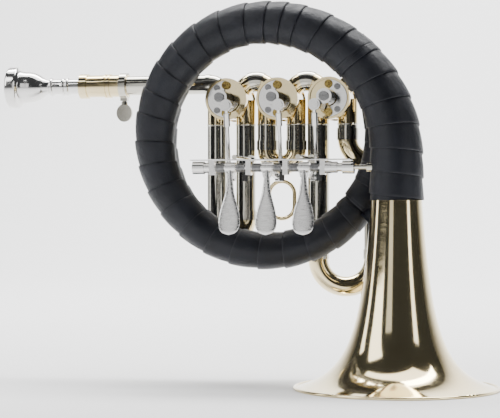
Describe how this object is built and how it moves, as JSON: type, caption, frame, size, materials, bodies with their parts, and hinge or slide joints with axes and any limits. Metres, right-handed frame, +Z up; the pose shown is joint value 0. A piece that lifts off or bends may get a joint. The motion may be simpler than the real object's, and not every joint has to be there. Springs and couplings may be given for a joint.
{
  "type": "valved hunting horn",
  "caption": "Small circular horn with a leather-wrapped double coil, downward bell, rotary valves worked by spring levers, tuning slides and a telescoping mouthpipe.",
  "frame": {"origin": "centre of the bell's mouth, on the plane of the bell rim that the horn stands on", "axes": "+Z up along the bell axis; -X towards the mouthpiece; -Y towards the side with the finger levers"},
  "size_m": [0.3458, 0.1372, 0.2503],
  "materials": {
    "lacquered_brass": "polished yellow brass under clear lacquer",
    "rotor_brass": "machined bare brass",
    "nickel_silver": "polished nickel silver",
    "bright_nickel": "mirror polished nickel plate",
    "screw_steel": "bright steel",
    "wrap_leather": "satin black leather strip",
    "bumper_cork": "natural cork",
    "stud_rubber": "matt black rubber"
  },
  "bodies": {
    "horn_body": {"arch_tube_1_2": "lacquered_brass", "arch_tube_2_3": "lacquered_brass", "bearing_plate_1": "lacquered_brass", "bearing_plate_2": "lacquered_brass", "bearing_plate_3": "lacquered_brass", "bell_flare": "lacquered_brass", "bell_rim_wire": "lacquered_brass", "cork_bumpers": "bumper_cork", "exit_crook": "lacquered_brass", "first_turn_tube": "lacquered_brass", "leadpipe": "nickel_silver", "leadpipe_stay": "lacquered_brass", "leather_bell_wrap": "wrap_leather", "leather_crossing_wraps": "wrap_leather", "leather_ring_wrap": "wrap_leather", "lever_saddle": "bright_nickel", "lever_springs": "screw_steel", "pivot_rod": "bright_nickel", "ring_bracket": "nickel_silver", "rod_end_barrel": "bright_nickel", "rod_end_knob": "bright_nickel", "saddle_struts": "nickel_silver", "second_turn_tube": "lacquered_brass", "slide_sleeves_1": "nickel_silver", "slide_sleeves_2": "nickel_silver", "slide_sleeves_3": "nickel_silver", "stop_plate_1": "bright_nickel", "stop_plate_2": "bright_nickel", "stop_plate_3": "bright_nickel", "stop_plate_screws": "screw_steel", "stop_studs": "stud_rubber", "third_slide_s_bend": "lacquered_brass", "tube_ferrules": "nickel_silver", "valve_casing_1": "lacquered_brass", "valve_casing_2": "lacquered_brass", "valve_casing_3": "lacquered_brass", "valve_rear_caps": "lacquered_brass"},
    "mouthpipe": {"mouthpipe_sleeve": "lacquered_brass", "clamp_collar": "nickel_silver"},
    "clamp_screw": {"thumb_screw": "nickel_silver"},
    "mouthpiece_body": {"mouthpiece": "bright_nickel"},
    "tuning_slide_1": {"slide_bow_1": "lacquered_brass"},
    "tuning_slide_2": {"slide_bow_2": "lacquered_brass", "slide_pull_ring": "lacquered_brass"},
    "tuning_slide_3": {"slide_bow_3": "lacquered_brass"},
    "valve_rotor_1": {"rotor_1": "rotor_brass", "stop_arm_1": "bright_nickel", "stop_arm_screw_1": "screw_steel"},
    "finger_lever_1": {"lever_1": "bright_nickel"},
    "lever_link_1": {"link_1": "bright_nickel"},
    "valve_rotor_2": {"rotor_2": "rotor_brass", "stop_arm_2": "bright_nickel", "stop_arm_screw_2": "screw_steel"},
    "finger_lever_2": {"lever_2": "bright_nickel"},
    "lever_link_2": {"link_2": "bright_nickel"},
    "valve_rotor_3": {"rotor_3": "rotor_brass", "stop_arm_3": "bright_nickel", "stop_arm_screw_3": "screw_steel"},
    "finger_lever_3": {"lever_3": "bright_nickel"},
    "lever_link_3": {"link_3": "bright_nickel"}
  },
  "joints": [
    {"name": "mouthpipe_slide", "type": "slide", "parent": "horn_body", "child": "mouthpipe", "axis": [-1, 0, 0], "range_m": [0, 0.012]},
    {"name": "clamp_screw_turn", "type": "hinge", "parent": "mouthpipe", "child": "clamp_screw", "pos_m": [-0.1962, 0.0546, 0.20036], "axis": [0, 0, 1], "range_deg": [0, 360]},
    {"name": "mouthpiece_slide", "type": "slide", "parent": "mouthpipe", "child": "mouthpiece_body", "axis": [-1, 0, 0], "range_m": [0, 0.02]},
    {"name": "slide_1_pull", "type": "slide", "parent": "horn_body", "child": "tuning_slide_1", "axis": [0, 0, -1], "range_m": [0, 0.02]},
    {"name": "slide_2_pull", "type": "slide", "parent": "horn_body", "child": "tuning_slide_2", "axis": [0, 0, -1], "range_m": [0, 0.012]},
    {"name": "slide_3_pull", "type": "slide", "parent": "horn_body", "child": "tuning_slide_3", "axis": [0, 0, -1], "range_m": [0, 0.025]},
    {"name": "lever_1_press", "type": "hinge", "parent": "horn_body", "child": "finger_lever_1", "pos_m": [-0.10708, -0.0062, 0.1417], "axis": [1, 0, 0], "range_deg": [0, 22], "stiffness_Nm_per_rad": 0.05, "springref_deg": -40.11},
    {"name": "rotor_1_turn", "type": "hinge", "parent": "horn_body", "child": "valve_rotor_1", "pos_m": [-0.1201, 0.0546, 0.189], "axis": [0, -1, 0], "range_deg": [0, 90]},
    {"name": "link_1_swing", "type": "hinge", "parent": "finger_lever_1", "child": "lever_link_1", "pos_m": [-0.11444, 0.0229, 0.13604], "axis": [1, 0, 0], "range_deg": [-22, 0]},
    {"name": "lever_2_press", "type": "hinge", "parent": "horn_body", "child": "finger_lever_2", "pos_m": [-0.08282, -0.0062, 0.1417], "axis": [1, 0, 0], "range_deg": [0, 22], "stiffness_Nm_per_rad": 0.05, "springref_deg": -40.11},
    {"name": "rotor_2_turn", "type": "hinge", "parent": "horn_body", "child": "valve_rotor_2", "pos_m": [-0.085, 0.0546, 0.189], "axis": [0, -1, 0], "range_deg": [0, 90]},
    {"name": "link_2_swing", "type": "hinge", "parent": "finger_lever_2", "child": "lever_link_2", "pos_m": [-0.07934, 0.0229, 0.13604], "axis": [1, 0, 0], "range_deg": [-22, 0]},
    {"name": "lever_3_press", "type": "hinge", "parent": "horn_body", "child": "finger_lever_3", "pos_m": [-0.05858, -0.0062, 0.1417], "axis": [1, 0, 0], "range_deg": [0, 22], "stiffness_Nm_per_rad": 0.05, "springref_deg": -40.11},
    {"name": "rotor_3_turn", "type": "hinge", "parent": "horn_body", "child": "valve_rotor_3", "pos_m": [-0.0499, 0.0546, 0.189], "axis": [0, 1, 0], "range_deg": [0, 90]},
    {"name": "link_3_swing", "type": "hinge", "parent": "finger_lever_3", "child": "lever_link_3", "pos_m": [-0.05556, 0.0229, 0.13604], "axis": [1, 0, 0], "range_deg": [-22, 0]}
  ],
  "couplings": [
    {"joint": "rotor_1_turn", "follows": "lever_1_press", "ratio": 4.0909},
    {"joint": "link_1_swing", "follows": "lever_1_press", "ratio": -1},
    {"joint": "rotor_2_turn", "follows": "lever_2_press", "ratio": 4.0909},
    {"joint": "link_2_swing", "follows": "lever_2_press", "ratio": -1},
    {"joint": "rotor_3_turn", "follows": "lever_3_press", "ratio": 4.0909},
    {"joint": "link_3_swing", "follows": "lever_3_press", "ratio": -1}
  ]
}
